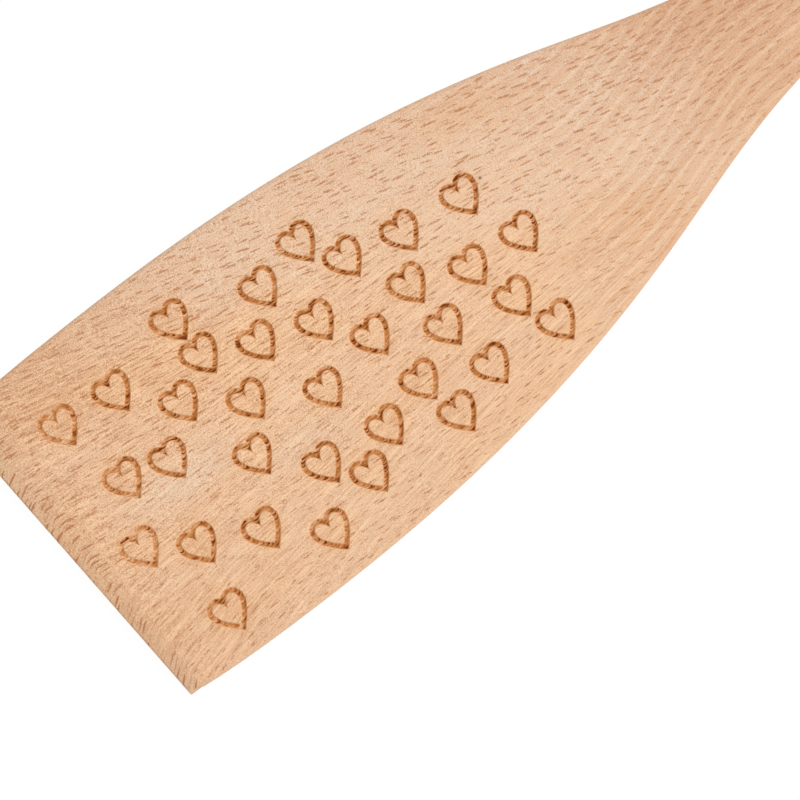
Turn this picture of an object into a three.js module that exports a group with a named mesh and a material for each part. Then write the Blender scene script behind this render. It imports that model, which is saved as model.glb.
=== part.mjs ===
// A flat kitchen spatula, carved in one piece from a beech board: a wide blade that thins towards a softly
// bevelled, slightly slanting front edge, hollow shoulders, a slim neck and a handle with a round end.
//
// Millimetres, +Z up. +X runs from the front edge to the end of the handle and +Y lies across the blade. The
// origin is under the middle of the spatula, on the surface that it lies on.

import * as THREE from 'three';

// Outline, seen from above. Distances are measured from the foremost corner, widths from side to side.
const overallLength = 300;
const bladeWidth = 60;
const frontTuck = 1.2;          // how far each front corner stands in from the blade's full width
const frontCorner = 1;          // length that each eased front corner takes off both of its edges
const frontSlant = 3.4;         // how much further back the front edge ends on its -Y side
const flareRun = 7;             // how far back each side runs on its flare for each millimetre that it goes out
const flareEase = 21;           // length in which that flare turns straight, up to the widest place
const shoulderWidth = 37.6;
const shoulderAt = 110;         // where each side turns from bulging to hollow
const shoulderFall = 0.314;     // how far each side comes in there for each millimetre of length
const neckWidth = 17;
const neckAt = 165;             // the slimmest place, where the handle begins
const gripWidth = 21;
const gripEndLength = 10;       // length of the handle's round end

// The front's width, where its flare would meet the blade's full width, and where the blade is that wide.
const frontWidth = bladeWidth - 2 * frontTuck;
const flareEndsAt = frontCorner + flareRun * frontTuck;
const bladeWidestAt = flareEndsAt + flareEase;

// How far each stretch of the outline holds its direction before it starts to turn.
const bladePull = 26;
const shoulderPull = 28;
const hollowPull = 17;
const neckPull = 26;
const gripPull = 45;

// Section. The underside is flat, and the top face falls from the handle to the front edge.
const handleThickness = 7.5;
const frontThickness = 3.4;
const frontRise = 0.012;        // how fast the blade thickens just behind its front edge
const handleArris = 3;          // radius of the handle's long edges
const handleArrisAt = 215;      // where that rounding is full
const bladeArris = 0.8;         // radius of the blade's long edges, up to the neck
const frontBevelRun = 2.4;      // how far the rounding of the upper front edge reaches back
const frontBevelDrop = 1.6;     // how far that rounding reaches down
const bevelFade = 14;           // where the front's rounding has become the rounding of the sides
const largestArrisShare = 0.45; // no rounding takes more than this share of the thickness

// Fineness of the facets.
const facetLength = 4.5;
const quarterSteps = 8;
const arrisSteps = 5;

const beech = new THREE.MeshStandardMaterial({ color: 0xe9bf99, roughness: 0.6, metalness: 0 });

const quarterTurn = Math.PI / 2;
const { clamp, lerp, smoothstep } = THREE.MathUtils;

function at(x, width) {
  return new THREE.Vector2(x, width / 2);
}

// One side of the outline, from the front edge to the tip of the handle, as stretches that share tangents.
function sideStretches() {
  const flareSlope = (bladeWidth - frontWidth) / flareEndsAt;
  const cornerEnd = at(frontCorner, frontWidth + frontCorner * flareSlope);
  const widest = at(bladeWidestAt, bladeWidth);
  const shoulder = at(shoulderAt, shoulderWidth);
  const neck = at(neckAt, neckWidth);
  const gripEndAt = overallLength - gripEndLength;

  const corner = new THREE.QuadraticBezierCurve(
    at(0, frontWidth - 2 * frontCorner),
    at(0, frontWidth),
    cornerEnd,
  );
  const flare = new THREE.QuadraticBezierCurve(cornerEnd, at(flareEndsAt, bladeWidth), widest);
  const belly = new THREE.CubicBezierCurve(
    widest,
    at(bladeWidestAt + bladePull, bladeWidth),
    at(shoulderAt - shoulderPull, shoulderWidth + 2 * shoulderPull * shoulderFall),
    shoulder,
  );
  const hollow = new THREE.CubicBezierCurve(
    shoulder,
    at(shoulderAt + hollowPull, shoulderWidth - 2 * hollowPull * shoulderFall),
    at(neckAt - neckPull, neckWidth),
    neck,
  );
  const grip = new THREE.CubicBezierCurve(
    neck,
    at(neckAt + gripPull, neckWidth),
    at(gripEndAt - gripPull, gripWidth),
    at(gripEndAt, gripWidth),
  );
  const roundEnd = new THREE.EllipseCurve(gripEndAt, 0, gripEndLength, gripWidth / 2, quarterTurn, 0, true);

  const longSteps = (curve) => Math.ceil(curve.getLength() / facetLength);
  return [
    { curve: corner, steps: quarterSteps, isCorner: true },
    { curve: flare, steps: longSteps(flare) },
    { curve: belly, steps: longSteps(belly) },
    { curve: hollow, steps: longSteps(hollow) },
    { curve: grip, steps: longSteps(grip) },
    { curve: roundEnd, steps: quarterSteps },
  ];
}

// Stations along that side, each with the direction that points straight into the wood. The front corner
// keeps its shape when it is drawn inwards, so its stations share the direction of the side behind it.
function sideStations() {
  const stations = [];
  for (const { curve, steps, isCorner } of sideStretches()) {
    const firstStep = stations.length === 0 ? 0 : 1;
    for (let step = firstStep; step <= steps; step += 1) {
      const point = curve.getPoint(step / steps);
      const along = curve.getTangent(isCorner ? 1 : step / steps);
      stations.push({ x: point.x, y: point.y, inwardX: along.y, inwardY: -along.x });
    }
  }
  return stations;
}

// The front edge runs at a slant: towards the -Y side it lies further back, and so does all that is near it.
function slantBack(x, y) {
  const cornerAt = frontWidth / 2 - frontCorner;
  const sideShare = clamp((cornerAt - y) / (2 * cornerAt), 0, 1);
  const frontShare = 1 - smoothstep(x, 0, bladeWidestAt);
  return frontSlant * sideShare * frontShare;
}

// Height of the top face: one smooth fall from the handle, level at the neck, down to the front edge.
function topAt(x) {
  const share = Math.min(x / neckAt, 1);
  const rising = share * share * (3 - 2 * share);
  const leaving = share * (1 - share) * (1 - share);
  return lerp(frontThickness, handleThickness, rising) + frontRise * neckAt * leaving;
}

// Levels of the rim, from the flat underside round the lower arris, up the wall and round the upper arris.
// Inset 1 is the inner edge of the rounding, and depth 1 is its edge on the wall.
function rimLevels() {
  const turns = Array.from({ length: arrisSteps + 1 }, (unused, step) => (quarterTurn * step) / arrisSteps);
  const lower = turns.map((turn) => ({ isUpper: false, inset: 1 - Math.sin(turn), depth: 1 - Math.cos(turn) }));
  const upper = turns.map((turn) => ({ isUpper: true, inset: 1 - Math.cos(turn), depth: 1 - Math.sin(turn) }));
  return [...lower, ...upper];
}

// One point of the rim, on the side that the sign gives: the long edges are rounded to an arris, the front edge
// to its bevel, and the one fades into the other behind each front corner.
function rimPoint(station, sideSign, { isUpper, inset, depth }) {
  const arris = lerp(bladeArris, handleArris, smoothstep(station.x, neckAt, handleArrisAt));
  const frontShare = 1 - smoothstep(station.x, frontCorner, bevelFade);
  const frontRun = frontShare * (isUpper ? frontBevelRun : bladeArris);
  const wantedDrop = isUpper ? lerp(arris, frontBevelDrop, frontShare) : arris;
  const drop = Math.min(wantedDrop, largestArrisShare * topAt(station.x));
  const x = station.x + inset * (arris * station.inwardX + frontRun);
  const y = sideSign * (station.y + inset * arris * station.inwardY);
  const z = isUpper ? topAt(x) - depth * drop : depth * drop;
  return new THREE.Vector3(x + slantBack(x, y), y, z);
}

// The closed body: one ring of points for each level, joined by strips, with a ladder of flat facets across
// the underside and the top face. A ring runs along the -Y side to the tip and back along the +Y side.
function spatulaGeometry() {
  const stations = sideStations();
  const levels = rimLevels();
  const tip = stations.length - 1;
  const ringLength = 2 * tip + 1;
  const positions = [];
  for (const level of levels) {
    const tipPoint = rimPoint(stations[tip], 1, level);
    const rightSide = stations.slice(0, tip).map((station) => rimPoint(station, -1, level));
    const leftSide = stations.slice(0, tip).map((station) => rimPoint(station, 1, level));
    for (const point of [...rightSide, tipPoint.setY(0), ...leftSide.reverse()]) {
      positions.push(point.x, point.y, point.z);
    }
  }

  const triangles = [];
  const vertex = (level, place) => level * ringLength + (place % ringLength);
  for (let level = 0; level < levels.length - 1; level += 1) {
    for (let place = 0; place < ringLength; place += 1) {
      const here = vertex(level, place);
      const next = vertex(level, place + 1);
      const above = vertex(level + 1, place);
      const nextAbove = vertex(level + 1, place + 1);
      triangles.push(here, next, nextAbove, here, nextAbove, above);
    }
  }

  const underside = 0;
  const topFace = levels.length - 1;
  const addFacing = (level, first, second, third) => {
    const corners = [vertex(level, first), vertex(level, second), vertex(level, third)];
    triangles.push(...(level === topFace ? corners : corners.reverse()));
  };
  for (const level of [underside, topFace]) {
    for (let rung = 0; rung < tip; rung += 1) {
      const far = ringLength - 1 - rung;
      addFacing(level, rung, rung + 1, far);
      if (rung + 1 < tip) {
        addFacing(level, rung + 1, far - 1, far);
      }
    }
  }

  const geometry = new THREE.BufferGeometry();
  geometry.setAttribute('position', new THREE.Float32BufferAttribute(positions, 3));
  geometry.setIndex(triangles);
  geometry.computeVertexNormals();
  return geometry;
}

const spatula = new THREE.Mesh(spatulaGeometry(), beech);
spatula.name = 'spatula';
spatula.position.x = -overallLength / 2;

const part = new THREE.Group();
part.add(spatula);

export default part;
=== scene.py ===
# %% [markdown]
# # A beech spatula with engraved hearts
#
# A flat kitchen spatula is sawn and sanded out of one beech board: a wide blade that thins towards its
# front edge, hollow shoulders, a slim neck and a handle with a round end. A pattern of small hearts is
# burnt into the blade. This lesson draws the board out slice by slice, rounds its edges, engraves the
# hearts as real grooves and gives the wood its ray flecks, growth lines and scorched grooves.
#
# Everything is in metres, in the frame of the solid model: +X runs from the front edge to the end of the
# handle, +Y lies across the blade and +Z points up from the flat underside.

# %% The solid model that everything follows
import math

import bpy
from mathutils import Matrix, Vector
from mathutils.bvhtree import BVHTree


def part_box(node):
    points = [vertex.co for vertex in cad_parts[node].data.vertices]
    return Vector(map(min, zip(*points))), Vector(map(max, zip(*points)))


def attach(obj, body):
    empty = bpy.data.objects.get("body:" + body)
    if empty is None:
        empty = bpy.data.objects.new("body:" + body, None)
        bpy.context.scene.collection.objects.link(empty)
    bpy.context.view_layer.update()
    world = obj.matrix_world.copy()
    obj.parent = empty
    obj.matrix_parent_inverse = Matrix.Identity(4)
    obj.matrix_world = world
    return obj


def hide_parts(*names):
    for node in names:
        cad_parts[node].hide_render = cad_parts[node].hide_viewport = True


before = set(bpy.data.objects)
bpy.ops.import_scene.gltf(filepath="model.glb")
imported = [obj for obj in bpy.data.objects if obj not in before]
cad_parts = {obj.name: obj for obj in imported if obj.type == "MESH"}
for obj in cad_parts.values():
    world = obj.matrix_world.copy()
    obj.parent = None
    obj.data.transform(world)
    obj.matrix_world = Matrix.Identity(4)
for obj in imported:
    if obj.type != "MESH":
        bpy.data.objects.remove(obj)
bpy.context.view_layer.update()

MM = 0.001
spatula_low, spatula_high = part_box("spatula")
front_x = spatula_low.x
tip_x = spatula_high.x
print("spatula from", tuple(spatula_low), "to", tuple(spatula_high))

# %% [markdown]
# ## The camera
#
# The photograph looks straight down on the blade, with the handle running out of the picture at the upper
# right. A tilted camera could be tried until the outline fits, but seen from right above the board keeps
# its shape and only has to be turned. A long lens from two metres up shows it almost without perspective,
# as it is there. The camera comes first.

# %% Camera
view_distance = 2.0
view_width = 127.95 * MM
view_turn = math.radians(37.68)
view_from_front, view_from_middle = 58.75 * MM, -12.04 * MM
view_end = 100

view_centre = Vector((front_x + view_from_front, view_from_middle, 0))
bpy.ops.object.camera_add(
    location=view_centre + Vector((0, 0, view_distance)),
    rotation=(0, 0, -view_turn),
)
camera = bpy.context.object
camera.data.lens = camera.data.sensor_width * view_distance / view_width
camera.data.clip_end = view_end
bpy.context.scene.camera = camera
print("camera at", tuple(camera.location), "with a lens of", camera.data.lens, "mm")

# %% [markdown]
# ## Measuring the board
#
# The outline and the thickness belong to the solid model. They could be typed again, but then the two
# would part as soon as one of them changed, so they are measured on it. A ray from above finds the height
# of the top face, rays from both sides find where the long edges are, and rays from the front find how
# the front edge slants.

# %% Height, sides and front edge of the board
ray_start = 10 * MM         # how far outside the board a measuring ray starts
front_block = 6 * MM        # length of the block at the front, which holds the slanting edge
front_level = 1.3 * MM      # height at which the front edge is measured
front_reach = 20 * MM       # how far to both sides of the middle line it is measured
first_x = front_x + front_block

node_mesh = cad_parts["spatula"].data
solid_tree = BVHTree.FromPolygons(
    [vertex.co for vertex in node_mesh.vertices],
    [face.vertices for face in node_mesh.polygons],
)


def top_at(x):
    start = Vector((x, 0, spatula_high.z + ray_start))
    return solid_tree.ray_cast(start, Vector((0, 0, -1)))[0].z


def side_at(x, side):
    """Where the edge on the +Y side (side 1) or the -Y side (side -1) lies."""
    half_height = top_at(max(x, first_x)) / 2
    start = Vector((x, side * (spatula_high.y + ray_start), half_height))
    return solid_tree.ray_cast(start, Vector((0, -side, 0)))[0].y


def front_at(y):
    start = Vector((front_x - ray_start, y, front_level))
    return solid_tree.ray_cast(start, Vector((1, 0, 0)))[0].x


front_slope = (front_at(-front_reach) - front_at(front_reach)) / (2 * front_reach)
print("the front edge slants by", math.degrees(math.atan(front_slope)), "degrees")

# %% [markdown]
# ## A block at the front
#
# The front edge of the blade is straight, but it lies at a slant: its -Y corner is a few millimetres
# further back. The whole outline could be drawn as a curve and filled, but a filled curve has no clean
# rows of faces to shape. So the board starts as a small block at the front, as by hand: one upright edge
# of the block is selected and slid back until the front slants as it should.

# %% A block at the front
corner_reach = 1.5 * MM     # how far behind the foremost corner the front's width is measured

front_half = side_at(front_x + corner_reach, 1)
front_height = top_at(front_x + front_block / 2)
bpy.ops.object.select_all(action="DESELECT")
bpy.ops.mesh.primitive_cube_add(
    size=1,
    location=(front_x + front_block / 2, 0, front_height / 2),
    scale=(front_block, 2 * front_half, front_height),
)
board = bpy.context.object
board.name = "engraved_spatula"
bpy.ops.object.transform_apply(location=True, rotation=True, scale=True)
print("block:", 2 * front_half / MM, "mm wide and", front_height / MM, "mm high")

# %% Slanting its front edge
def clear_selection(kind):
    """Leaves nothing selected, with edges or faces as the kind that is selected next."""
    bpy.ops.object.mode_set(mode="EDIT")
    bpy.ops.mesh.select_all(action="DESELECT")
    bpy.ops.mesh.select_mode(type=kind)
    bpy.ops.object.mode_set(mode="OBJECT")


def select_edges(mesh, is_wanted):
    """Selects the edges that fit, in edit mode, and nothing else."""
    clear_selection("EDGE")
    for edge in mesh.edges:
        start, end = (mesh.vertices[index].co for index in edge.vertices)
        edge.select = is_wanted(start, end)
    bpy.ops.object.mode_set(mode="EDIT")


def is_upright(start, end):
    return (end - start).xy.length < abs(end.z - start.z)


def is_slid_back(start, end):
    """The upright edge at the front, on the -Y side."""
    return is_upright(start, end) and start.y < 0 and start.x < front_x + front_block / 2


slide = 2 * front_half * front_slope
select_edges(board.data, is_slid_back)
bpy.ops.transform.translate(value=(slide, 0, 0))
bpy.ops.object.mode_set(mode="OBJECT")
print("front corner slid back by", slide / MM, "mm")

# %% [markdown]
# ## The front bevel
#
# The upper edge of the front is sanded to a long, shallow bevel, so that the blade slides under what it
# turns. The bevel tool would take as much off the front as off the top. Cutting a line across the top and
# lowering the edge in front of it sets the run and the drop apart, and the cut can follow the slant.

# %% Cutting a ridge and lowering the edge in front of it
front_bevel_run = 2.1 * MM
front_bevel_drop = 0.95 * MM


def behind_front(point):
    """How far a point lies behind the slanting front edge."""
    return point.x - front_x - front_slope * (front_half - point.y)


def is_front_rim(start, end):
    """The upper edge of the front, ahead of the ridge."""
    farthest = max(behind_front(start), behind_front(end))
    return min(start.z, end.z) > front_level and farthest < front_bevel_run / 2


ridge = Vector((front_x + front_slope * front_half + front_bevel_run, 0, 0))
bpy.ops.object.mode_set(mode="EDIT")
bpy.ops.mesh.select_all(action="SELECT")
bpy.ops.mesh.bisect(plane_co=ridge, plane_no=(1, front_slope, 0))
select_edges(board.data, is_front_rim)
bpy.ops.transform.translate(value=(0, 0, -front_bevel_drop))
bpy.ops.object.mode_set(mode="OBJECT")
print("front block:", len(board.data.polygons), "faces")

# %% [markdown]
# ## Drawing the board out
#
# Behind its front the blade swells, narrows in hollow shoulders to the neck and goes on as the handle,
# and it gets thicker on the way. A long box could be cut into slices and each slice moved, but then every
# slice has to be found again. Here the block's back face is drawn out towards the handle, a few
# millimetres at a time, made wider or narrower and thicker at each step. That gives one clean strip of
# faces for each step, follows any outline, and keeps the underside flat, because each step is scaled
# about the surface that the board lies on.

# %% Drawing the block out to the end of the handle
squarely = 0.9              # a face looks along an axis when its normal has at least this share of it
slice_length = 3 * MM
round_end = 10.4 * MM
end_margin = 0.2 * MM
end_block = round_end + end_margin
last_x = tip_x - end_block
slice_count = round((last_x - first_x) / slice_length)


def select_faces(mesh, is_wanted):
    """Selects the faces that fit, in edit mode, and nothing else."""
    clear_selection("FACE")
    for face in mesh.polygons:
        face.select = is_wanted(face)
    bpy.ops.object.mode_set(mode="EDIT")


select_faces(board.data, lambda face: face.normal.x > squarely)
here = first_x
low, high, height = -front_half, front_half, front_height
for step in range(slice_count + 1):
    there = first_x + (last_x - first_x) * step / slice_count
    next_low, next_high, next_height = side_at(there, -1), side_at(there, 1), top_at(there)
    middle_y = (next_low + next_high) / 2
    if step > 0:
        bpy.ops.mesh.extrude_region_move()
    bpy.ops.transform.translate(value=(there - here, middle_y - (low + high) / 2, 0))
    bpy.ops.transform.resize(
        value=(1, (next_high - next_low) / (high - low), next_height / height),
        center_override=(there, middle_y, 0),
    )
    here = there
    low, high, height = next_low, next_high, next_height
bpy.ops.mesh.extrude_region_move(TRANSFORM_OT_translate={"value": (end_block, 0, 0)})
bpy.ops.object.mode_set(mode="OBJECT")
print("board drawn out:", len(board.data.polygons), "faces")

# %% [markdown]
# ## The round end of the handle
#
# The handle ends in a half circle. It could be drawn out in ever narrower slices, but those crowd
# together at the tip. Bevelling the two upright edges of the square end with a radius just under half the
# width turns it into a half circle in one step.

# %% Rounding the handle's end
round_end_steps = 12


def is_end_corner(start, end):
    return is_upright(start, end) and min(start.x, end.x) > tip_x - end_block / 2


select_edges(board.data, is_end_corner)
bpy.ops.mesh.bevel(offset=round_end, segments=round_end_steps, affect="EDGES")
bpy.ops.object.mode_set(mode="OBJECT")
print("round end added:", len(board.data.polygons), "faces")

# %% [markdown]
# ## Rounded edges
#
# A sanded spatula has no sharp arris. The blade's edges are only eased, the handle's are well rounded for
# the hand, and the ridge of the front bevel is softened. Each could be bevelled by itself, but the
# rounding has to grow evenly along the neck. One Bevel modifier makes them all: its width is the handle's
# radius, and a weight on each edge says which share of it that edge takes.

# %% Radius of each edge
handle_arris = 3 * MM
blade_arris = 0.8 * MM
front_arris = 0.4 * MM
corner_arris = 0.15 * MM
ridge_rounding = 0.4 * MM
arris_grows_from = front_x + 165 * MM
arris_grows_to = front_x + 215 * MM


def smooth_step(value, start, end):
    share = min(max((value - start) / (end - start), 0), 1)
    return share * share * (3 - 2 * share)


def arris_for(start, end):
    """The radius that an edge of the board is rounded to."""
    middle = (start + end) / 2
    run = end - start
    if is_upright(start, end):
        return corner_arris
    if middle.x < first_x and abs(run.y) > abs(run.x):
        return ridge_rounding if behind_front(middle) > front_bevel_run / 2 else front_arris
    grown = smooth_step(middle.x, arris_grows_from, arris_grows_to)
    return blade_arris + grown * (handle_arris - blade_arris)


print("long edges:", blade_arris / MM, "mm on the blade and", handle_arris / MM, "mm on the handle")

# %% Weights on the sharp edges
sharp_turn = math.radians(20)


def weigh_sharp_edges(mesh):
    """Gives each sharp edge its share of the handle's radius, and counts them."""
    faces_at = {}
    for face in mesh.polygons:
        for key in face.edge_keys:
            faces_at.setdefault(key, []).append(face)
    weights = mesh.attributes.new("bevel_weight_edge", "FLOAT", "EDGE")
    sharp_count = 0
    for edge in mesh.edges:
        one, other = faces_at[edge.key]
        if one.normal.angle(other.normal) > sharp_turn:
            start, end = (mesh.vertices[index].co for index in edge.vertices)
            weights.data[edge.index].value = arris_for(start, end) / handle_arris
            sharp_count += 1
    return sharp_count


print("edges to round:", weigh_sharp_edges(board.data))

# %% Rounding the edges
arris_steps = 6

rounding = board.modifiers.new("rounded edges", "BEVEL")
rounding.limit_method = "WEIGHT"
rounding.width = handle_arris
rounding.segments = arris_steps
rounding.use_clamp_overlap = False
bpy.ops.object.modifier_apply(modifier=rounding.name)
print("rounded board:", len(board.data.polygons), "faces")

# %% [markdown]
# ## One heart
#
# Each heart is a groove as wide as a pencil line. A curve with a round section could cut it, but that is
# as wide everywhere, and the line swells at the notch and the tip. So its outer and inner edges are two
# closed curves of four points each: the notch, the two sides and the tip. Made a mesh and bridged, they
# give a heart-shaped band, drawn at one unit to the millimetre.

# %% The outline of a heart
outer_heart = {
    "notch": 2.06, "lobe": (0.86, 3.26), "side": (3.44, 0.57), "side_up": 2.22, "side_down": 1.8,
    "tip": -4.58, "tip_pull": (1.3, -3.28),
}
inner_heart = {
    "notch": -0.1, "lobe": (0.71, 2.34), "side": (2.36, 0.54), "side_up": 1.52, "side_down": 1.12,
    "tip": -3.05, "tip_pull": (1.04, -2.2),
}


def bend_to_heart(spline, notch, lobe, side, side_up, side_down, tip, tip_pull):
    """Moves the four points of a circle, left, top, right and bottom, to the outline of a heart."""
    left, top, right, bottom = spline.bezier_points
    outline = [
        (left, (-side[0], side[1]), (-side[0], side[1] - side_down), (-side[0], side[1] + side_up)),
        (top, (0, notch), (-lobe[0], lobe[1]), lobe),
        (right, side, (side[0], side[1] + side_up), (side[0], side[1] - side_down)),
        (bottom, (0, tip), tip_pull, (-tip_pull[0], tip_pull[1])),
    ]
    for point, place, before, after in outline:
        point.handle_left_type = "FREE"
        point.handle_right_type = "FREE"
        point.co = (*place, 0)
        point.handle_left = (*before, 0)
        point.handle_right = (*after, 0)


print("a heart is", 2 * outer_heart["side"][0], "mm wide")

# %% The heart-shaped band
outer_circle, inner_circle = 3, 2
curve_steps = 10

bpy.ops.object.select_all(action="DESELECT")
bpy.ops.curve.primitive_bezier_circle_add(radius=outer_circle)
cutter = bpy.context.object
cutter.name = "heart_cutter"
bpy.ops.object.mode_set(mode="EDIT")
bpy.ops.curve.select_all(action="DESELECT")
bpy.ops.curve.primitive_bezier_circle_add(radius=inner_circle)
bpy.ops.object.mode_set(mode="OBJECT")
outer_line, inner_line = cutter.data.splines
bend_to_heart(outer_line, **outer_heart)
bend_to_heart(inner_line, **inner_heart)
cutter.data.dimensions = "2D"
cutter.data.fill_mode = "NONE"
cutter.data.resolution_u = curve_steps
bpy.ops.object.convert(target="MESH")
cutter = bpy.context.object
bpy.ops.object.mode_set(mode="EDIT")
bpy.ops.mesh.select_all(action="SELECT")
bpy.ops.mesh.bridge_edge_loops()
bpy.ops.object.mode_set(mode="OBJECT")
print("heart band:", len(cutter.data.polygons), "faces")

# %% [markdown]
# ## A cutter for the groove
#
# The groove is a fraction of a millimetre deep, with a rounded bed. A bump in the material could feign
# it, but only real walls catch the light as these do. The band gets a body by extruding it upwards, clear
# of the wood, and a rounded bed by insetting its lower faces, each time a little deeper and further in.

# %% Giving the band a body and a rounded bed
groove_depth = 0.26
groove_clearance = 1.0
bed_inset = 0.14
bed_steps = (0.45, 0.35, 0.2)

bpy.ops.object.mode_set(mode="EDIT")
bpy.ops.mesh.select_all(action="SELECT")
bpy.ops.mesh.extrude_region_move(TRANSFORM_OT_translate={"value": (0, 0, groove_clearance)})
bpy.ops.mesh.select_all(action="SELECT")
bpy.ops.mesh.normals_make_consistent(inside=False)
select_faces(cutter.data, lambda face: face.normal.z < -squarely)
for share in bed_steps:
    bpy.ops.mesh.inset(thickness=bed_inset, depth=share * groove_depth)
bpy.ops.object.mode_set(mode="OBJECT")
print("cutter:", len(cutter.data.polygons), "faces")

# %% [markdown]
# ## A map of the heart
#
# A groove is burnt most in its bed, at the notch and at the tip, so its finish has to know where on the
# heart a place lies. Each groove could be painted, but the hearts are all alike. The cutter carries its
# own places with it instead, as an attribute with one vector at each corner of a face, and the cut hands
# that on to the faces of the grooves.

# %% Writing the cutter's places into an attribute
heart_map = cutter.data.attributes.new("place on the heart", "FLOAT_VECTOR", "CORNER")
for corner in cutter.data.loops:
    heart_map.data[corner.index].vector = cutter.data.vertices[corner.vertex_index].co
print("lowest place on the heart:", min(vertex.co.z for vertex in cutter.data.vertices), "mm")

# %% [markdown]
# ## The hearts in their places
#
# Thirty-five hearts are scattered over the blade, all the same way up when the handle points to the
# right, none touching another. They could be strewn at random, but the eye soon finds gaps and crowds in
# that, so each has its place: the heart's middle in millimetres, from the foremost corner and from the
# middle line of the blade. The cutter is copied to each place and laid on the slope of the top face there
# with the drawing's slight lean, and all copies are joined.

# %% Places of the hearts
heart_places = [
    (11.6, -5.1), (13.2, 18.2), (16.7, -21.6), (16.2, 5.3), (19.3, -10.2),
    (23.9, 3.4), (23.3, 17.4), (28.9, -14.6), (30.8, 9.5), (35.0, -4.4),
    (37.5, -21.5), (38.0, 13.6), (37.5, 20.7), (39.6, 3.2), (42.9, -12.2),
    (46.5, 9.6), (48.1, -18.0), (50.4, -2.9), (52.0, 16.2), (54.5, -13.6),
    (55.9, 6.5), (61.5, -0.8), (61.2, 18.2), (63.3, -11.2), (65.0, -18.9),
    (65.6, 11.8), (71.1, 2.2), (71.7, -6.7), (73.8, -16.1), (75.3, 9.5),
    (80.6, -1.6), (83.2, -9.8), (86.4, -17.0), (86.4, 8.2), (90.3, -2.3),
]
heart_lean = math.radians(1.9)
slope_reach = 3 * MM


def place_on_top(from_front, from_middle):
    """The turn and place that lay a heart on the top face of the blade."""
    x = front_x + from_front * MM
    rise = top_at(x + slope_reach) - top_at(x - slope_reach)
    slope = math.atan2(rise, 2 * slope_reach)
    place = Matrix.Translation((x, from_middle * MM, top_at(x)))
    tilt = Matrix.Rotation(-slope, 4, "Y")
    return place @ tilt @ Matrix.Rotation(heart_lean, 4, "Z") @ Matrix.Scale(MM, 4)


print("the first heart lies at", tuple(place_on_top(*heart_places[0]).translation))

# %% Copying the cutter to its places
copies = []
for place in heart_places:
    bpy.ops.object.select_all(action="DESELECT")
    cutter.select_set(True)
    bpy.context.view_layer.objects.active = cutter
    bpy.ops.object.duplicate()
    copy = bpy.context.object
    copy.matrix_world = place_on_top(*place)
    bpy.ops.object.transform_apply(location=True, rotation=True, scale=True)
    copies.append(copy)
bpy.data.objects.remove(cutter)
for copy in copies:
    copy.select_set(True)
bpy.ops.object.join()
cutters = bpy.context.object
print("hearts to cut:", len(heart_places), "with", len(cutters.data.polygons), "faces")

# %% [markdown]
# ## Helpers for materials
#
# Every material below is a network of nodes. They could be joined by hand in the shader editor, but there
# are many and both finishes share most of them. One function adds a node, sets its properties and joins
# its sockets, so that each line of a material reads as one step. Colours are written as sRGB hex values,
# as they are read from a screen, and one function turns them into the linear values that the renderer
# works with.

# %% Colours and nodes
def to_linear(hex_colour):
    """Linear red, green and blue with full alpha, by the curve that defines sRGB."""
    channels = [int(hex_colour[index:index + 2], 16) / 255 for index in (1, 3, 5)]
    linear = [c / 12.92 if c <= 0.04045 else ((c + 0.055) / 1.055) ** 2.4 for c in channels]
    return (*linear, 1)


def add_node(tree, kind, inputs=(), **settings):
    """Adds a node. An input is a value, an output socket, or a node whose first output is meant."""
    node = tree.nodes.new("ShaderNode" + kind)
    for name, value in settings.items():
        setattr(node, name, value)
    pairs = inputs.items() if isinstance(inputs, dict) else enumerate(inputs)
    for socket, value in pairs:
        if isinstance(value, bpy.types.Node):
            value = value.outputs[0]
        if isinstance(value, bpy.types.NodeSocket):
            tree.links.new(value, node.inputs[socket])
        else:
            node.inputs[socket].default_value = value
    return node


def new_material(name):
    material = bpy.data.materials.new(name)
    material.use_nodes = True
    material.node_tree.nodes.clear()
    return material


white = "#FFFFFF"
print("white in linear values:", to_linear(white))

# %% [markdown]
# ## Places in the wood
#
# The rays of beech are thin sheets of tissue that run outwards through the tree, and the saw meets them
# on a slant. The pattern could be laid on each face by itself, but then it would break at every edge. So
# it is laid out on one slanted plane: along the board, and across it less a share of the height. The
# sheets then lean over towards +Y as they rise, and the same flecks turn round the edges, as they do in
# solid wood.

# %% Places in millimetres from the foremost corner and the middle line
ray_slant = 1.3


def places_in_wood(tree):
    """Where a place lies in the board, and on the slanted plane of the figure."""
    place = add_node(tree, "TexCoord").outputs["Object"]
    in_mm = add_node(tree, "Mapping", {
        "Vector": place, "Location": (-front_x / MM, 0, 0), "Scale": (1 / MM, 1 / MM, 1 / MM),
    })
    along, across, height = add_node(tree, "SeparateXYZ", [in_mm]).outputs
    slanted = add_node(tree, "Math", [height, -ray_slant, across], operation="MULTIPLY_ADD")
    plane = add_node(tree, "CombineXYZ", [along, slanted])
    return {"solid": in_mm, "along": along, "across": across, "slanted": slanted, "plane": plane}


print("the sheets of rays lean over by", math.degrees(math.atan(ray_slant)), "degrees")

# %% [markdown]
# ## How the faces are turned
#
# Wood looks different on each kind of face: where a face slopes away from the grain, as the front bevel
# does, the fibres are cut short and hardly show, and on the narrow sides the flecks fade. Each kind of
# face could have its own material, with a seam between them. The direction of the surface tells them
# apart without one.

# %% Level faces, the top, the bevel and the sides
level_range, steep_share = (0.92, 0.985), 0.1
bevel_range = (-0.1, -0.3)


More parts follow.
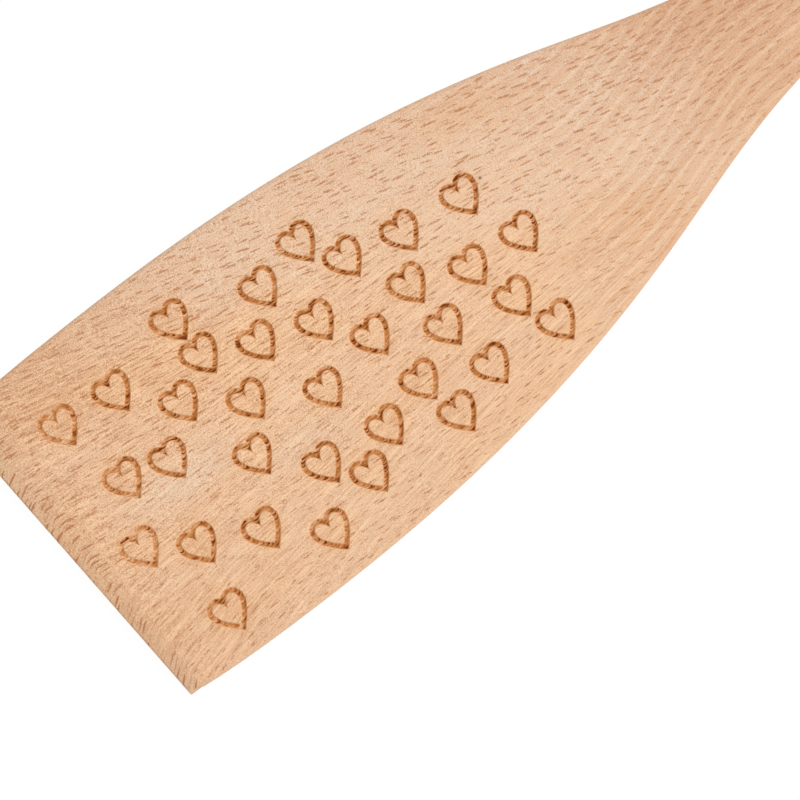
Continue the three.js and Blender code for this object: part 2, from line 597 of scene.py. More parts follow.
def turns_of_faces(tree):
    """How much of the fibres a face shows, if it is on top, and how far it looks forward and sideways."""
    normal = add_node(tree, "NewGeometry").outputs["Normal"]
    facing_x, facing_y, facing_z = add_node(tree, "SeparateXYZ", [normal]).outputs
    levelness = add_node(tree, "Math", [facing_z], operation="ABSOLUTE")
    return {
        "flat": add_node(tree, "MapRange", [levelness, *level_range, steep_share, 1]),
        "top": add_node(tree, "Math", [facing_z, 0], operation="GREATER_THAN"),
        "forward": add_node(tree, "MapRange", [facing_x, *bevel_range, 0, 1]),
        "sideways": add_node(tree, "Math", [facing_y], operation="ABSOLUTE"),
    }


print("the front bevel falls by", math.degrees(math.atan2(front_bevel_drop, front_bevel_run)), "degrees")

# %% [markdown]
# ## The run of the fibres
#
# The fibres follow the tree that the board came from: they fan out a little, run in slow waves and rise
# along the neck. A straight grain would be simpler, but it looks printed. Here each place is moved across
# the board by as much as its fibre has wandered, so that whatever is drawn along straight lines comes out
# along the fibres.

# %% Coordinates that follow the fibres
smooth = {"interpolation_type": "SMOOTHSTEP"}
fibre_fall, fibre_fall_across = -0.03, -0.006
fibres_meet_at, shoulder_run, turn_length = 60, 55, 12
neck_rise, neck_rise_range = 8.5, (104, 140)
wave_size, wave_height, wave_detail = 16, 1.2, 1


def run_of_fibres(tree, grain):
    """Which fibre a place lies on, and coordinates along and across the fibres."""
    along, across = grain["along"], grain["across"]
    fibre_slope = add_node(tree, "Math", [across, fibre_fall_across, fibre_fall], operation="MULTIPLY_ADD")
    run = add_node(tree, "Math", [along, fibres_meet_at], operation="SUBTRACT")
    run = add_node(tree, "Math", [run, shoulder_run, turn_length], operation="SMOOTH_MIN")
    fallen = add_node(tree, "Math", [run, fibre_slope], operation="MULTIPLY")
    risen = add_node(tree, "MapRange", [along, *neck_rise_range, 0, neck_rise], **smooth)
    risen = add_node(tree, "Math", [risen, fallen], operation="ADD")
    straight = add_node(tree, "Math", [grain["slanted"], risen], operation="SUBTRACT")
    waves = add_node(
        tree, "TexNoise", {"Vector": grain["plane"], "Scale": 1 / wave_size, "Detail": wave_detail},
        noise_dimensions="2D",
    )
    fibre = add_node(tree, "Math", [waves, wave_height, straight], operation="MULTIPLY_ADD")
    return {"fibre": fibre, "fibres": add_node(tree, "CombineXYZ", [along, fibre])}


print("the fibres rise by", neck_rise, "mm along the neck")

# %% [markdown]
# ## The lie of the flecks
#
# The rays don't lie along the fibres: on the blade their flecks fall towards the handle, more so on the
# +Y side and at the neck, and they turn up at the front corner on the -Y side. One angle for the whole
# board would do for a small piece of wood. On this one each stretch has its own, and one runs smoothly
# into the next.

# %% Slope of the flecks
blade_fall = -0.11
side_fall, side_range = -0.31, (2, 20)
front_fall, front_range = -0.15, (10, 34)
neck_fall, neck_range = -0.28, (82, 100)
handle_fall, handle_range = -0.11, (116, 130)
corner_rise, corner_range = 0.36, (-4, -20)


def slope_of_flecks(tree, along, across):
    """How far a fleck goes across the board for each millimetre along it."""
    slope = add_node(tree, "MapRange", [across, *side_range, blade_fall, side_fall], **smooth)
    slope = add_node(tree, "MapRange", [along, *front_range, front_fall, slope], **smooth)
    slope = add_node(tree, "MapRange", [along, *neck_range, slope, neck_fall], **smooth)
    slope = add_node(tree, "MapRange", [along, *handle_range, slope, handle_fall], **smooth)
    corner = add_node(tree, "MapRange", [along, *front_range, corner_rise, 0], **smooth)
    corner_side = add_node(tree, "MapRange", [across, *corner_range, 0, 1], **smooth)
    return add_node(tree, "Math", [corner, corner_side, slope], operation="MULTIPLY_ADD")


print("the flecks fall by", -math.degrees(math.atan(blade_fall)), "degrees on the blade")

# %% [markdown]
# ## The build of the flecks
#
# Flecks of one build could be scattered everywhere, but then the wood looks stamped. Behind the front
# they are longer on the +Y side, and in a clear zone at the shoulder and the neck, where little else
# shows, they are broader. On the front bevel the rays are cut at another angle and come out as fewer,
# stronger strokes, and on the narrow sides they almost go.

# %% Length, breadth and strength of the flecks
reach_range, short_side_share, long_side_share = (-8, 14), 0.9, 1.2
front_long_share = 0.92
clear_from, clear_lean, clear_range = 85, 0.5, (-6, 8)
clear_breadth = 1.25
neck_ray_share = 0.89
edge_range, edge_ray_share = (0.2, 0.5), 0.15
bevel_reach, bevel_breadth, bevel_gaps, bevel_ray_share = 1.35, 1.35, 0.27, 2.6


def build_of_flecks(tree, grain):
    """The clear zone, and how long, broad, sparse and strong the flecks are, as shares of the plain ones."""
    along, across, forward = grain["along"], grain["across"], grain["forward"]
    from_clear = add_node(tree, "Math", [along, clear_from], operation="SUBTRACT")
    from_clear = add_node(tree, "Math", [from_clear, clear_lean, across], operation="MULTIPLY_ADD")
    clear = add_node(tree, "MapRange", [from_clear, *clear_range, 0, 1], **smooth)
    long_shares = (front_long_share, long_side_share)
    long_share = add_node(tree, "MapRange", [along, *front_range, *long_shares], **smooth)
    reach = add_node(tree, "MapRange", [across, *reach_range, short_side_share, long_share])
    breadth = add_node(tree, "MapRange", [clear, 0, 1, 1, clear_breadth])
    ray_share = add_node(tree, "MapRange", [along, *neck_range, 1, neck_ray_share], **smooth)
    ray_share = add_node(tree, "MapRange", [forward, 0, 1, ray_share, bevel_ray_share])
    return {
        "clear": clear,
        "reach": add_node(tree, "MapRange", [forward, 0, 1, reach, bevel_reach]),
        "breadth": add_node(tree, "MapRange", [forward, 0, 1, breadth, bevel_breadth]),
        "gaps": add_node(tree, "MapRange", [forward, 0, 1, 0, bevel_gaps]),
        "ray_share": add_node(tree, "MapRange", [grain["sideways"], *edge_range, ray_share, edge_ray_share]),
    }


def lay_grain(tree):
    """All that the figure has to know of a place: where it lies, how it is turned, and how its grain runs."""
    grain = {**places_in_wood(tree), **turns_of_faces(tree)}
    grain.update(run_of_fibres(tree, grain))
    grain.update(build_of_flecks(tree, grain))
    grain["slope"] = slope_of_flecks(tree, grain["along"], grain["across"])
    return grain


print("in the clear zone the flecks are", clear_breadth, "times as broad")

# %% [markdown]
# ## Ray flecks
#
# Beech is known by its rays: on a sawn face they show as short dark spindles, one to three millimetres
# long and a quarter of a millimetre wide. Noise alone gives blots. A pattern of cells holds one spindle
# in each cell instead. The cell's random colour gives each spindle its own length, width and strength,
# and the slope of the flecks turns it, with a little chance added.

# %% One spindle in each cell
fleck_jitter = 0.13
fleck_scatter = 0.85
fleck_rim, fleck_core = 1.4, 0.15


def ray_flecks(tree, grain, cell, half_length, half_width, least_strength):
    """How strongly a spindle-shaped fleck shows at a place, from 0 to 1. Sizes are in millimetres."""
    to_cells = (1 / cell[0], 1 / cell[1], 0)
    in_cells = add_node(tree, "VectorMath", [grain["plane"], to_cells], operation="MULTIPLY")
    cells = add_node(
        tree, "TexVoronoi", {"Vector": in_cells, "Scale": 1, "Randomness": fleck_scatter},
        voronoi_dimensions="2D",
    )
    middle = cells.outputs["Position"]
    from_middle = add_node(tree, "VectorMath", [in_cells, middle], operation="SUBTRACT")
    offset = add_node(tree, "VectorMath", [from_middle, (*cell, 0)], operation="MULTIPLY")
    along, across, _ = add_node(tree, "SeparateXYZ", [offset]).outputs

    chances = add_node(tree, "SeparateColor", [cells.outputs["Color"]]).outputs
    long_chance, wide_chance, strong_chance = chances
    length = add_node(tree, "MapRange", [long_chance, 0, 1, *half_length])
    length = add_node(tree, "Math", [length, grain["reach"]], operation="MULTIPLY")
    width = add_node(tree, "MapRange", [wide_chance, 0, 1, *half_width])
    width = add_node(tree, "Math", [width, grain["breadth"]], operation="MULTIPLY")
    strength = add_node(tree, "MapRange", [strong_chance, grain["gaps"], 1, least_strength, 1])

    turn_chance = add_node(tree, "TexWhiteNoise", [middle], noise_dimensions="2D")
    turn = add_node(tree, "MapRange", [turn_chance, 0, 1, -fleck_jitter, fleck_jitter])
    slope = add_node(tree, "Math", [grain["slope"], turn], operation="ADD")
    drift = add_node(tree, "Math", [along, slope], operation="MULTIPLY")
    aside = add_node(tree, "Math", [across, drift], operation="SUBTRACT")
    aside = add_node(tree, "Math", [aside], operation="ABSOLUTE")
    width_share = add_node(tree, "Math", [aside, width], operation="DIVIDE")
    length_share = add_node(tree, "Math", [along, length], operation="DIVIDE")
    taper = add_node(tree, "Math", [length_share, length_share, width_share], operation="MULTIPLY_ADD")
    fleck = add_node(tree, "MapRange", [taper, fleck_rim, fleck_core, 0, 1], **smooth)
    return add_node(tree, "Math", [fleck, strength], operation="MULTIPLY")


print("by chance a fleck turns by up to", math.degrees(math.atan(fleck_jitter)), "degrees")

# %% [markdown]
# ## Lines along the fibres
#
# Between the flecks lie lines along the grain: fine fibres, longer streaks, bands, slow changes of tone,
# and pale growth lines that come out at the neck. They could be drawn one by one. Noise that is drawn out
# along the fibres gives as many as are wanted, and each kind has its length, its width and its strength.

# %% Noise drawn out along the fibres
line_detail = 2
noise_middle = 0.5


def along_fibres(tree, grain, size):
    """Noise around 0, drawn out along the fibres to a length and a width in millimetres."""
    length, width = size
    shrink = (1 / length, 1 / width, 0)
    stretched = add_node(tree, "VectorMath", [grain["fibres"], shrink], operation="MULTIPLY")
    noise = add_node(
        tree, "TexNoise", {"Vector": stretched, "Scale": 1, "Detail": line_detail}, noise_dimensions="2D"
    )
    return add_node(tree, "Math", [noise, noise_middle], operation="SUBTRACT")


# A single fibre is too fine to show, so the finest lines are bundles, a quarter of a millimetre wide.
fibre_size, fibre_gain = (5.5, 0.26), 1.02
print("the finest lines are", fibre_size[1], "mm wide")

# %% Fibres, streaks, bands, tone and growth lines
streak_size, streak_gain = (13, 0.8), 0.36
band_size, band_gain = (45, 2.2), 0.36
tone_size, tone_gain = (40, 9), 0.13
clear_fibre_share = 0.45
band_range, blade_band_share = (84, 112), 0.15
ring_spacing, ring_half_width, ring_gain = 2.9, 0.8, 0.12


def lines_of_beech(tree, grain):
    """The lines along the grain, around 0, and the pale growth lines among them."""
    fibre_share = add_node(tree, "MapRange", [grain["clear"], 0, 1, 1, clear_fibre_share])
    band_share = add_node(tree, "MapRange", [grain["along"], *band_range, blade_band_share, 1], **smooth)
    lines = 0
    for size, gain, share in (
        (fibre_size, fibre_gain, fibre_share), (streak_size, streak_gain, fibre_share),
        (band_size, band_gain, band_share), (tone_size, tone_gain, 1),
    ):
        wave = add_node(tree, "Math", [along_fibres(tree, grain, size), share], operation="MULTIPLY")
        lines = add_node(tree, "Math", [wave, gain, lines], operation="MULTIPLY_ADD")
    from_ring = add_node(tree, "Math", [grain["fibre"], ring_spacing / 2], operation="PINGPONG")
    rings = add_node(tree, "MapRange", [from_ring, 0, ring_half_width, ring_gain, 0], **smooth)
    rings = add_node(tree, "Math", [rings, band_share], operation="MULTIPLY")
    lines = add_node(tree, "Math", [lines, rings], operation="ADD")
    lines = add_node(tree, "Math", [lines, grain["flat"]], operation="MULTIPLY")
    return lines, rings


print("growth lines lie", ring_spacing, "mm apart")

# %% [markdown]
# ## Sandy speckle and painted glints
#
# Pores and the marks of sanding give beech a sandy speckle, strongest on the blade's front, weak towards
# the handle, and weaker on the smoother -Y side. Its pale specks are partly painted glints, light that
# the sanded fibres catch, painted into the colour. It could be a bump, but then it would change with the
# light, and here it is mostly colour. Noise in solid space does it, because that looks alike on every face.

# %% Speckle of pores and sanding marks, and painted glints
# Real pores, under a tenth of a millimetre wide, are too fine to show, so the speckle is drawn coarser.
speckle_size, speckle_detail = 0.2, 2
speckle_range, back_speckle_share = (55, 115), 0.2
smooth_side_range, smooth_side_share = (-4, -20), 0.64


def speckle_and_painted_glints(tree, grain):
    """The even speckle from 0 to 1, and the specks that show of it, around 0."""
    speckle = add_node(
        tree, "TexNoise", {"Vector": grain["solid"], "Scale": 1 / speckle_size, "Detail": speckle_detail}
    )
    specks = add_node(tree, "Math", [speckle, noise_middle], operation="SUBTRACT")
    for place, fade, least in (
        (grain["along"], speckle_range, back_speckle_share),
        (grain["across"], smooth_side_range, smooth_side_share),
    ):
        share = add_node(tree, "MapRange", [place, *fade, 1, least])
        specks = add_node(tree, "Math", [specks, share], operation="MULTIPLY")
    return speckle, specks


print("speckle of", speckle_size, "mm")

# %% [markdown]
# ## Broad and fine rays
#
# Two sizes of ray show on this board: broad ones that stand out, and fine dashes between them. The broad
# ones are paler on the -Y side, above all at the neck, and the speckle of the surface breaks them up.
# Each could be drawn as a curve, but solid strokes would look inked.

# %% Broad and fine rays
broad_rays = {
    "cell": (3.0, 0.92), "half_length": (0.55, 1.5), "half_width": (0.105, 0.19), "least_strength": 0.1,
}
fine_rays = {
    "cell": (1.9, 0.6), "half_length": (0.4, 0.8), "half_width": (0.05, 0.09), "least_strength": 0.1,
}
plain_side_range, plain_share_blade, plain_share_neck = (-9, 6), 0.7, 0.46
neck_spread = (88, 108)
broken_range, broken_share = (0.65, 0.35), (0.45, 1.5)


def rays_of_beech(tree, grain, speckle):
    """The broad rays, as strong as their place makes them and broken up by the speckle, and the fine ones."""
    plain_shares = (plain_share_blade, plain_share_neck)
    plain_share = add_node(tree, "MapRange", [grain["along"], *neck_spread, *plain_shares])
    side_share = add_node(tree, "MapRange", [grain["across"], *plain_side_range, plain_share, 1], **smooth)
    broken = add_node(tree, "MapRange", [speckle, *broken_range, *broken_share])
    rays = ray_flecks(tree, grain, **broad_rays)
    for share in (side_share, grain["ray_share"], broken):
        rays = add_node(tree, "Math", [rays, share], operation="MULTIPLY")
    return rays, ray_flecks(tree, grain, **fine_rays)


print("broad rays are up to", 2 * broad_rays["half_length"][1], "mm long")

# %% [markdown]
# ## The figure of the wood
#
# Seen close, sanded beech is busy, but flecks, lines and specks all only make it darker or paler. Each
# layer could have its own colour, which soon gets out of hand. So the figure is one number, from 0 for
# dark to 1 for pale, and each layer adds to it or takes from it. The front, the neck, the handle and the
# margin on the +Y side are a little darker than the rest. At the front and the handle this is partly the
# wood's tone and partly painted shade, where the light falls off towards the ends of the board.

# %% Slow changes over the board
# The front and handle shades are partly painted shade, where the light falls off towards the ends.
front_shade, front_spread = -0.08, (40, 4)
neck_shade = -0.14
handle_shade, handle_spread = -0.14, (112, 132)
margin_shade, margin_range = -0.15, (14, 28)
margin_turns_at, margin_lean = 60, 0.3
smooth_side_shade = -0.03


def darken_by_place(tree, grain, shade):
    """A shade with the slow changes over the board taken off it."""
    turned = add_node(tree, "Math", [grain["along"], margin_turns_at], operation="SUBTRACT")
    turned = add_node(tree, "Math", [turned, 0], operation="MAXIMUM")
    margin = add_node(tree, "Math", [turned, margin_lean, grain["across"]], operation="MULTIPLY_ADD")
    for place, spread, change in (
        (grain["along"], front_spread, front_shade),
        (grain["along"], neck_spread, neck_shade),
        (grain["along"], handle_spread, handle_shade),
        (margin, margin_range, margin_shade),
        (grain["across"], smooth_side_range, smooth_side_shade),
    ):
        darker = add_node(tree, "MapRange", [place, *spread, 0, change])
        shade = add_node(tree, "Math", [shade, darker], operation="ADD")
    return shade


print("the +Y margin darkens from", margin_range[0], "to", margin_range[1], "mm off the middle line")

# %% Shade of the wood, from dark to pale
middle_shade = 0.67
speckle_gain, broad_ray_depth, fine_ray_depth = 2.0, 1.1, 0.25


def figure_of_beech(tree, grain):
    """The shade of the wood from 0, dark, to 1, pale, and the layers that it is made of."""
    lines, rings = lines_of_beech(tree, grain)
    speckle, specks = speckle_and_painted_glints(tree, grain)
    rays, thin_rays = rays_of_beech(tree, grain, speckle)
    shade = add_node(tree, "Math", [lines, middle_shade], operation="ADD")
    shade = darken_by_place(tree, grain, shade)
    for layer, gain in ((specks, speckle_gain), (rays, -broad_ray_depth), (thin_rays, -fine_ray_depth)):
        shade = add_node(tree, "Math", [layer, gain, shade], operation="MULTIPLY_ADD")
    return {
        "shade": shade, "lines": lines, "rings": rings, "speckle": speckle, "rays": rays,
        "thin_rays": thin_rays,
    }


print("plain wood lies at", middle_shade, "between dark and pale")

# %% [markdown]
# ## Sheen spots and a mark
#
# On the top face the painted sheen is stronger in a few places, which look paler, and weaker in others,
# which look warmer, and beside one of the hearts the wood has a tiny grey mark. They could be painted on a
# texture, but a spot that is given by its place and size, in millimetres, is easy to move and never blurs.

# %% Soft spots on the top face
# A spot with a gain above 0 has more painted sheen and looks paler than the wood round it, and one below 0
# has less and looks warmer.
sheen_spots = [
    {"place": (24, -1.2), "size": (15, 5.5), "turn": -5, "gain": 0.24},
    {"place": (40, -8), "size": (14, 6), "turn": -15, "gain": 0.12},
    {"place": (49, 21.4), "size": (13, 4.5), "turn": 6, "gain": 0.1},
    {"place": (32, 14.5), "size": (36, 11), "turn": -20, "gain": -0.12},
    {"place": (12, -18), "size": (24, 13), "turn": 0, "gain": -0.07},
    {"place": (4, 0), "size": (10, 25), "turn": 0, "gain": -0.09},
    {"place": (97, 17.5), "size": (19, 7), "turn": -17, "gain": -0.14},
    {"place": (108, -10), "size": (16, 8), "turn": -25, "gain": -0.12},
]
mark = {"place": (90.5, 8.2), "size": (0.45, 0.45), "turn": 0, "gain": 1}


def soft_spot(tree, on_face, place, size, turn, gain):
    """A spot that is strongest in its middle and ends at an ellipse, turned by so many degrees."""
    on_spot = add_node(tree, "Mapping", {
        "Vector": on_face, "Location": (*place, 0), "Scale": (*size, 1),
        "Rotation": (0, 0, math.radians(turn)),
    }, vector_type="TEXTURE")
    away = add_node(tree, "VectorMath", [on_spot], operation="LENGTH").outputs["Value"]
    return add_node(tree, "MapRange", [away, 0, 1, gain, 0], **smooth)


print("pale and warm places:", len(sheen_spots))

# %% [markdown]
# ## Painted sheen
#
# A whitish sheen of fine specks is painted into the colour: painted highlights that stand in for the light
# that the lifted ends of sanded fibres catch. It is stronger in patches, along the growth lines, in the
# clear zone and in a few spots, and weaker on the handle, on the flecks and round each heart, which leaves
# the wood there a little warmer. A paler wood colour alone would wash the flecks out, so the painted sheen
# is its own layer, mixed in between them.

# %% Haze round the hearts
haze_inner, haze_outer, haze_gain = 2, 5.5, -0.12


def haze_round_hearts(tree, on_face):
    """What is taken off the painted sheen near the hearts, by the distance to the nearest heart."""
    nearest = haze_outer
    for place in heart_places:
        away = add_node(tree, "VectorMath", [on_face, (*place, 0)], operation="DISTANCE").outputs["Value"]
        nearest = add_node(tree, "Math", [away, nearest], operation="MINIMUM")
    return add_node(tree, "MapRange", [nearest, haze_inner, haze_outer, haze_gain, 0], **smooth)


print("the haze reaches", haze_outer, "mm from the middle of a heart")

# %% Painted sheen on the bare wood
# Shares of the painted sheen, a whitish painted highlight on the bare wood.
sheen_base, clear_sheen = 0.145, 0.17
patch_size, patch_gain = (22, 7), 0.2
ring_sheen = 1.2
sheen_specks = 5
handle_sheen_share = 0.55


def painted_sheen_on_beech(tree, grain, figure, on_face):
    """How much painted sheen, a whitish painted highlight, lies on a place."""
    painted_sheen = add_node(tree, "Math", [grain["clear"], clear_sheen, sheen_base], operation="MULTIPLY_ADD")
    patches = along_fibres(tree, grain, patch_size)
    for layer, gain in ((patches, patch_gain), (figure["rings"], ring_sheen)):
        painted_sheen = add_node(tree, "Math", [layer, gain, painted_sheen], operation="MULTIPLY_ADD")
    sheen_change = haze_round_hearts(tree, on_face)
    # Painted sheen is added or taken off in the spots and round the hearts.
    for spot in sheen_spots:
        sheen_change = add_node(tree, "Math", [soft_spot(tree, on_face, **spot), sheen_change], operation="ADD")
    painted_sheen = add_node(tree, "Math", [sheen_change, grain["top"], painted_sheen], operation="MULTIPLY_ADD")
    # The painted sheen lies in specks: painted glints where the speckle is pale.
    specks = add_node(tree, "Math", [figure["speckle"], noise_middle], operation="SUBTRACT")
    specks = add_node(tree, "Math", [specks, sheen_specks, 1], operation="MULTIPLY_ADD")
    between_rays = add_node(tree, "Math", [1, figure["rays"]], operation="SUBTRACT")
    handle = add_node(tree, "MapRange", [grain["along"], *handle_spread, 1, handle_sheen_share])
    for share in (specks, between_rays, handle):
        painted_sheen = add_node(tree, "Math", [painted_sheen, share], operation="MULTIPLY")
    return painted_sheen


print("bloom on plain wood:", sheen_base)

# %% [markdown]
# ## Sanded beech
#
# Steamed beech, sanded fine and left without varnish, is a pale pinkish tan. A clear coat would make it
# look varnished, so there is none: the surface mostly scatters light, with a faint relief of fibres. The
# figure mixes the dark colour with the pale one, and the painted sheen and the mark lie over them.

# %% Colour of the bare wood
dark_wood, pale_wood = "#C28355", "#FFD3A7"
# The first colour here is the painted sheen's: a whitish painted highlight mixed over the wood.
sheen_colour, mark_colour = "#EEDCC9", "#6C584C"


def wood_colour(tree, grain, figure):
    """The colour of the bare wood."""
    wood = add_node(tree, "MixRGB", {
        "Fac": figure["shade"], "Color1": to_linear(dark_wood), "Color2": to_linear(pale_wood),
    })
    on_face = add_node(tree, "CombineXYZ", [grain["along"], grain["across"]])
    painted_sheen = painted_sheen_on_beech(tree, grain, figure, on_face)
    # Painted sheen: a whitish painted highlight mixed over the wood colour.
    wood = add_node(tree, "MixRGB", {"Fac": painted_sheen, "Color1": wood, "Color2": to_linear(sheen_colour)})
    grey = add_node(tree, "Math", [soft_spot(tree, on_face, **mark), grain["top"]], operation="MULTIPLY")
    return add_node(tree, "MixRGB", {"Fac": grey, "Color1": wood, "Color2": to_linear(mark_colour)})


print("the wood runs from", dark_wood, "to", pale_wood)

# %% Sanded beech
# Fine sanding without varnish gives the eye a dull, slightly silky surface that has no clear highlight.
sanded_roughness, sanded_gloss = 0.6, 0.3
lines_height, lines_relief = 0.05 * MM, 0.1


def sanded_beech():
    material = new_material("sanded beech")
    tree = material.node_tree
    grain = lay_grain(tree)
    figure = figure_of_beech(tree, grain)
    wood = wood_colour(tree, grain, figure)
    relief = add_node(tree, "Bump", {
        "Strength": lines_relief, "Distance": lines_height, "Height": figure["lines"],
    })
    surface = add_node(tree, "BsdfPrincipled", {
        "Base Color": wood, "Normal": relief,
        "Roughness": sanded_roughness, "Specular IOR Level": sanded_gloss,
    })
    add_node(tree, "OutputMaterial", [surface])
    return material


board.data.materials.append(sanded_beech())
print("sanded beech:", len(board.data.materials[0].node_tree.nodes), "nodes")

# %% [markdown]
# ## The burn in the grooves
#
# In the grooves the same wood is scorched, hardly at the rim and most in the bed. The burn is uneven:
# mottled along the grain, and strongest where a ray crosses, so each groove is barred with short dark
# dashes. The burning point rested at the notch and at the tip of each heart and left a dark spot there,
# and the hearts nearest the front are burnt less. One even brown would look printed, so the burn too is a
# number that layers add to. How deep a place lies, and where on its heart, is read from the map that the
# cutter gave to the cut faces.

# %% How far a place is burnt
middle_burn = 0.54
rim_depth, bed_depth = 0.01, 0.2
mottle_size, mottle_gain = (2.6, 0.7), 0.9
spot_size, spot_gain = (1.7, 0.27), 1.6
burnt_rays = {**broad_rays, "cell": (2.2, 0.7), "half_width": (0.09, 0.17)}
ray_burn, thin_ray_burn = 0.62, 0.25
notch_rest, tip_rest = (0, 0.6, -groove_depth), (0.1, -4.0, -groove_depth)
rest_size, rest_burn = 0.7, 0.35
weak_range, weak_burn = (10, 22), -0.25


def burn_in_grooves(tree, grain, figure):
    """How far the wood is burnt, from 0 at the rim to about 1."""
    on_heart = add_node(tree, "Attribute", attribute_name="place on the heart").outputs["Vector"]
    drop = add_node(tree, "SeparateXYZ", [on_heart]).outputs["Z"]
    depth = add_node(tree, "MapRange", [drop, -rim_depth, -bed_depth, 0, 1])
    weak = add_node(tree, "MapRange", [grain["along"], *weak_range, weak_burn, 0])
    burn = add_node(tree, "Math", [weak, middle_burn], operation="ADD")
    for layer, gain in (
        (along_fibres(tree, grain, mottle_size), mottle_gain),
        (along_fibres(tree, grain, spot_size), spot_gain),
        (ray_flecks(tree, grain, **burnt_rays), ray_burn),
        (figure["thin_rays"], thin_ray_burn),
    ):
        burn = add_node(tree, "Math", [layer, gain, burn], operation="MULTIPLY_ADD")
    for point in (notch_rest, tip_rest):
        away = add_node(tree, "VectorMath", [on_heart, point], operation="DISTANCE").outputs["Value"]
        rested = add_node(tree, "MapRange", [away, rest_size, 0, 0, rest_burn])
        burn = add_node(tree, "Math", [burn, rested], operation="ADD")
    return add_node(tree, "Math", [burn, depth], operation="MULTIPLY")


print("the burn is full", bed_depth, "mm down in a groove")

# %% [markdown]
# ## Burnt beech
#
# Heat turns beech first to a toasted brown and then to a dark char. A mix from bare wood straight to char
# would be dull halfway, so the burn runs through both browns in turn, over the colour of the bare wood,
# which still shows at the rim.

# %% Burnt beech
# Scorching leaves the wood dry and rough, so that the eye sees a matt, warm brown without any sheen.
toasted_colour, charred_colour = "#C98144", "#6E2C04"
toasted_at = 0.55
burnt_roughness, burnt_gloss = 0.8, 0.1


def burnt_beech():
    material = new_material("burnt beech")
    tree = material.node_tree
    grain = lay_grain(tree)
    figure = figure_of_beech(tree, grain)
    wood = wood_colour(tree, grain, figure)
    burn = burn_in_grooves(tree, grain, figure)
    for begins, ends, colour in ((0, toasted_at, toasted_colour), (toasted_at, 1, charred_colour)):
        share = add_node(tree, "MapRange", [burn, begins, ends, 0, 1])
        wood = add_node(tree, "MixRGB", {"Fac": share, "Color1": wood, "Color2": to_linear(colour)})
    surface = add_node(tree, "BsdfPrincipled", {
        "Base Color": wood, "Roughness": burnt_roughness, "Specular IOR Level": burnt_gloss,
    })
    add_node(tree, "OutputMaterial", [surface])
    return material


cutters.data.materials.append(burnt_beech())
print("burnt beech:", len(cutters.data.materials[0].node_tree.nodes), "nodes")

# %% [markdown]
# ## Cutting the grooves
#
# The hearts could be cut one after the other, but one Boolean with all of them joined is quicker and
# leaves one clean mesh. It hands the new faces the material and the map of the cutters, so the grooves
# come out burnt and the rest stays bare.

# %% Cutting the grooves
engraving = board.modifiers.new("engraving", "BOOLEAN")
engraving.operation = "DIFFERENCE"
engraving.solver = "EXACT"
engraving.material_mode = "TRANSFER"
engraving.object = cutters
bpy.ops.object.select_all(action="DESELECT")
bpy.context.view_layer.objects.active = board
board.select_set(True)
bpy.ops.object.modifier_apply(modifier=engraving.name)
bpy.data.objects.remove(cutters)
print("engraved board:", len(board.data.polygons), "faces")

# %% [markdown]
# ## Even shading
#
# Sanded wood runs smoothly over its rounded edges and breaks only at the rims of the grooves. Smooth
# shading alone would drag shadows across the long flat faces. Creases by angle keep the rims sharp, and
# weighted normals let the large faces decide. The finished board then takes the place of the solid
# model's node.

# %% Shading the board and handing it over
crease_angle = math.radians(35)

bpy.ops.object.shade_smooth_by_angle(angle=crease_angle)
even_shading = board.modifiers.new("even shading", "WEIGHTED_NORMAL")
even_shading.keep_sharp = True
bpy.ops.object.modifier_apply(modifier=even_shading.name)

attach(board, "root")
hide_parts("spatula")
print("handed over:", board.name, "with", len(board.data.materials), "finishes")

# %% [markdown]
# ## Floor
#
# The spatula lies on white paper that runs out of the picture on all sides. Paper that is lit alone comes
# out grey somewhere, so to the camera most of its light is a plain glow, which makes it white, and the
# rest takes the soft shadow of the board.

# %% White studio paper
# Uncoated paper gives the eye a matt, even white without any highlight.
paper_colour = "#F4F4F4"
glow_share, glow_strength = 0.94, 1.02


def rays_that_see(tree, *names):
    """1 for the kinds of light path that are named, and 0 for all others."""
    path = add_node(tree, "LightPath")
    seen = 0
    for name in names:
        seen = add_node(tree, "Math", [path.outputs[name], seen], operation="MAXIMUM")
    return seen


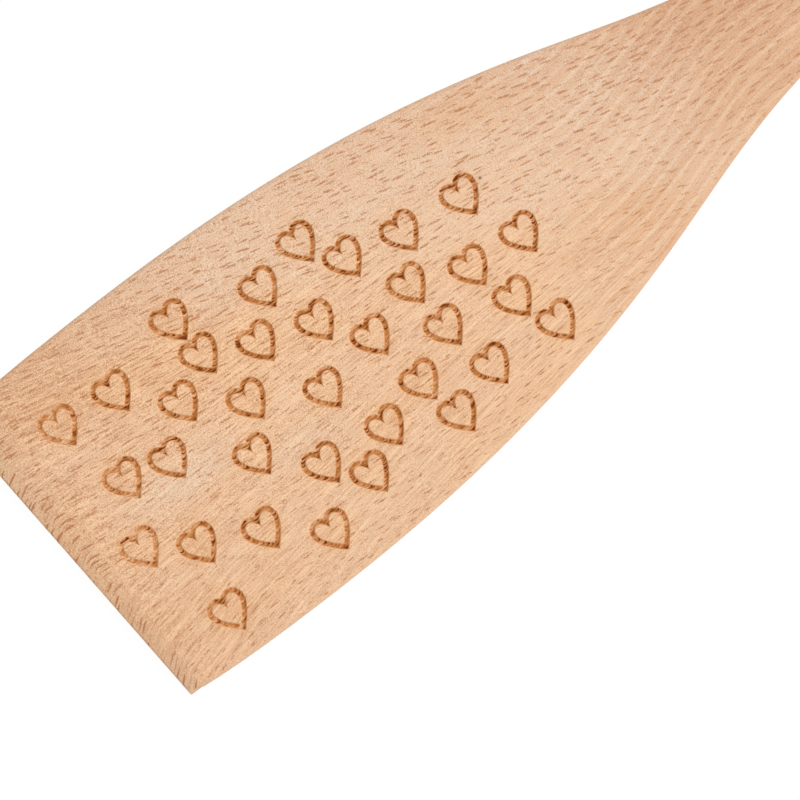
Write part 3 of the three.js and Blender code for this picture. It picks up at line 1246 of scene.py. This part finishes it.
def white_studio_paper():
    material = new_material("white studio paper")
    tree = material.node_tree
    seen = rays_that_see(tree, "Is Camera Ray", "Is Glossy Ray", "Is Transmission Ray")
    share = add_node(tree, "Math", [seen, glow_share], operation="MULTIPLY")
    matt = add_node(tree, "BsdfDiffuse", {"Color": to_linear(paper_colour)})
    glow = add_node(tree, "Emission", {"Color": to_linear(white), "Strength": glow_strength})
    surface = add_node(tree, "MixShader", [share, matt, glow])
    add_node(tree, "OutputMaterial", [surface])
    return material


paper = white_studio_paper()
print("white studio paper:", len(paper.node_tree.nodes), "nodes")

# %% Studio floor
floor_size = 60
floor_gap = 0.05 * MM

bpy.ops.object.select_all(action="DESELECT")
bpy.ops.mesh.primitive_plane_add(size=floor_size, location=(0, 0, -floor_gap))
floor = bpy.context.object
floor.name = "studio_floor"
floor.data.materials.append(paper)
print("floor of", floor_size, "m")

# %% [markdown]
# ## Light
#
# In the photograph hardly a shadow shows, but the walls of the grooves do. Lamps all round could give
# that, with many to balance. An even sky is simpler, with one large lamp at the handle's side that lights
# the grooves from the right. Together they are as bright as the colours are written.

# %% Soft light from all round
fill_strength = 0.64

world = bpy.data.worlds.new("studio")
world.use_nodes = True
tree = world.node_tree
tree.nodes.clear()
seen = rays_that_see(tree, "Is Camera Ray", "Is Transmission Ray")
strength = add_node(tree, "MapRange", [seen, 0, 1, fill_strength, 1])
sky = add_node(tree, "Background", {"Color": to_linear(white), "Strength": strength})
add_node(tree, "OutputWorld", [sky])
bpy.context.scene.world = world
print("sky at", fill_strength)

# %% One large lamp
lamp_direction = Vector((0.62, -0.25, 0.9)).normalized()
lamp_distance = 1.6
lamp_size = 0.9
lamp_power = 13.5

bpy.ops.object.light_add(
    type="AREA",
    location=lamp_distance * lamp_direction,
    rotation=lamp_direction.to_track_quat("Z", "Y").to_euler(),
)
lamp = bpy.context.object
lamp.data.shape = "DISK"
lamp.data.size = lamp_size
lamp.data.energy = lamp_power
lamp.visible_camera = False
print("lamp at", tuple(lamp.location))

# %% [markdown]
# ## Colours as written
#
# A filmic view would soften the whites and the browns, so the Standard view is chosen, which shows
# colours as they are.

# %% View
bpy.context.scene.view_settings.view_transform = "Standard"
